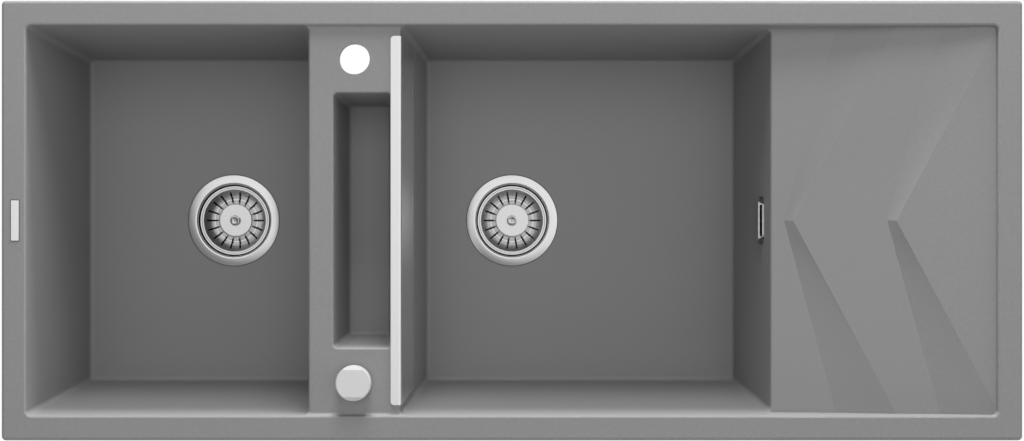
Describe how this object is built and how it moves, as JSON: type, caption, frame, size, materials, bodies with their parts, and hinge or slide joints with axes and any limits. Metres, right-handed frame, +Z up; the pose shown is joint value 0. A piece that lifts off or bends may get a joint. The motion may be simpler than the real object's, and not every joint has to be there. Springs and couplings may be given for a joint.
{
  "type": "double bowl kitchen sink",
  "caption": "Inset composite kitchen sink with bowls on both sides of a tap deck, a middle compartment, a faceted drainer, basket strainer wastes, pop-up control, overflow and trap.",
  "frame": {"origin": "centre of the rim's underside, on the worktop's surface", "axes": "+X to the drainer, along the front; +Y to the back, where the tap stands; +Z up"},
  "size_m": [1.16, 0.5, 0.4253],
  "materials": {
    "composite": "fine matt granite look",
    "steel": "satin",
    "plated_brass": "nickel plated",
    "rubber": "matt",
    "grey_plastic": "moulded",
    "white_plastic": "moulded"
  },
  "bodies": {
    "sink": {"sink_body": "composite", "steel_guard": "steel", "guard_tape": "rubber", "rim_plate": "steel", "left_strainer_cup": "steel", "left_cup_seal": "rubber", "left_floor_gasket": "rubber", "left_waste_body": "grey_plastic", "left_centre_screw": "steel", "right_strainer_cup": "steel", "right_cup_seal": "rubber", "right_floor_gasket": "rubber", "right_waste_body": "grey_plastic", "right_centre_sleeve": "steel", "cable_box": "grey_plastic", "control_cable": "grey_plastic", "drum_box": "grey_plastic", "control_nut": "plated_brass", "control_washer": "rubber", "control_bush": "plated_brass", "overflow_cover": "steel", "overflow_screw": "steel", "overflow_gasket": "rubber", "overflow_box": "grey_plastic", "overflow_hose": "white_plastic", "hose_clips": "steel", "left_pipe": "white_plastic", "right_pipe": "white_plastic", "waste_tee": "white_plastic", "appliance_nozzle": "white_plastic", "appliance_nut": "white_plastic", "pipe_nuts": "white_plastic", "pipe_seals": "rubber", "trap_head": "white_plastic", "trap_seal": "rubber", "trap_cup": "white_plastic", "outlet_pipe": "white_plastic"},
    "knob": {"control_knob": "steel", "control_spindle": "plated_brass"},
    "pin": {"lift_pin": "steel"},
    "right_strainer": {"right_basket": "steel", "right_basket_knob": "steel", "right_basket_stem": "grey_plastic", "right_plug_seal": "rubber"},
    "left_strainer": {"left_basket": "steel", "left_basket_knob": "steel", "left_basket_stem": "grey_plastic", "left_plug_seal": "rubber"}
  },
  "joints": [
    {"name": "knob_turn", "type": "hinge", "parent": "sink", "child": "knob", "pos_m": [-0.1795, -0.184, 0.006], "axis": [0, 0, 1], "range_deg": [0, 90]},
    {"name": "pin_lift", "type": "slide", "parent": "sink", "child": "pin", "axis": [0, 0, 1], "range_m": [0, 0.008]},
    {"name": "right_strainer_lift", "type": "slide", "parent": "pin", "child": "right_strainer", "axis": [0, 0, 1], "range_m": [0, 0.24]},
    {"name": "left_strainer_lift", "type": "slide", "parent": "sink", "child": "left_strainer", "axis": [0, 0, 1], "range_m": [0, 0.24]}
  ],
  "couplings": [
    {"joint": "pin_lift", "follows": "knob_turn", "m_per_rad": 0.00509}
  ]
}
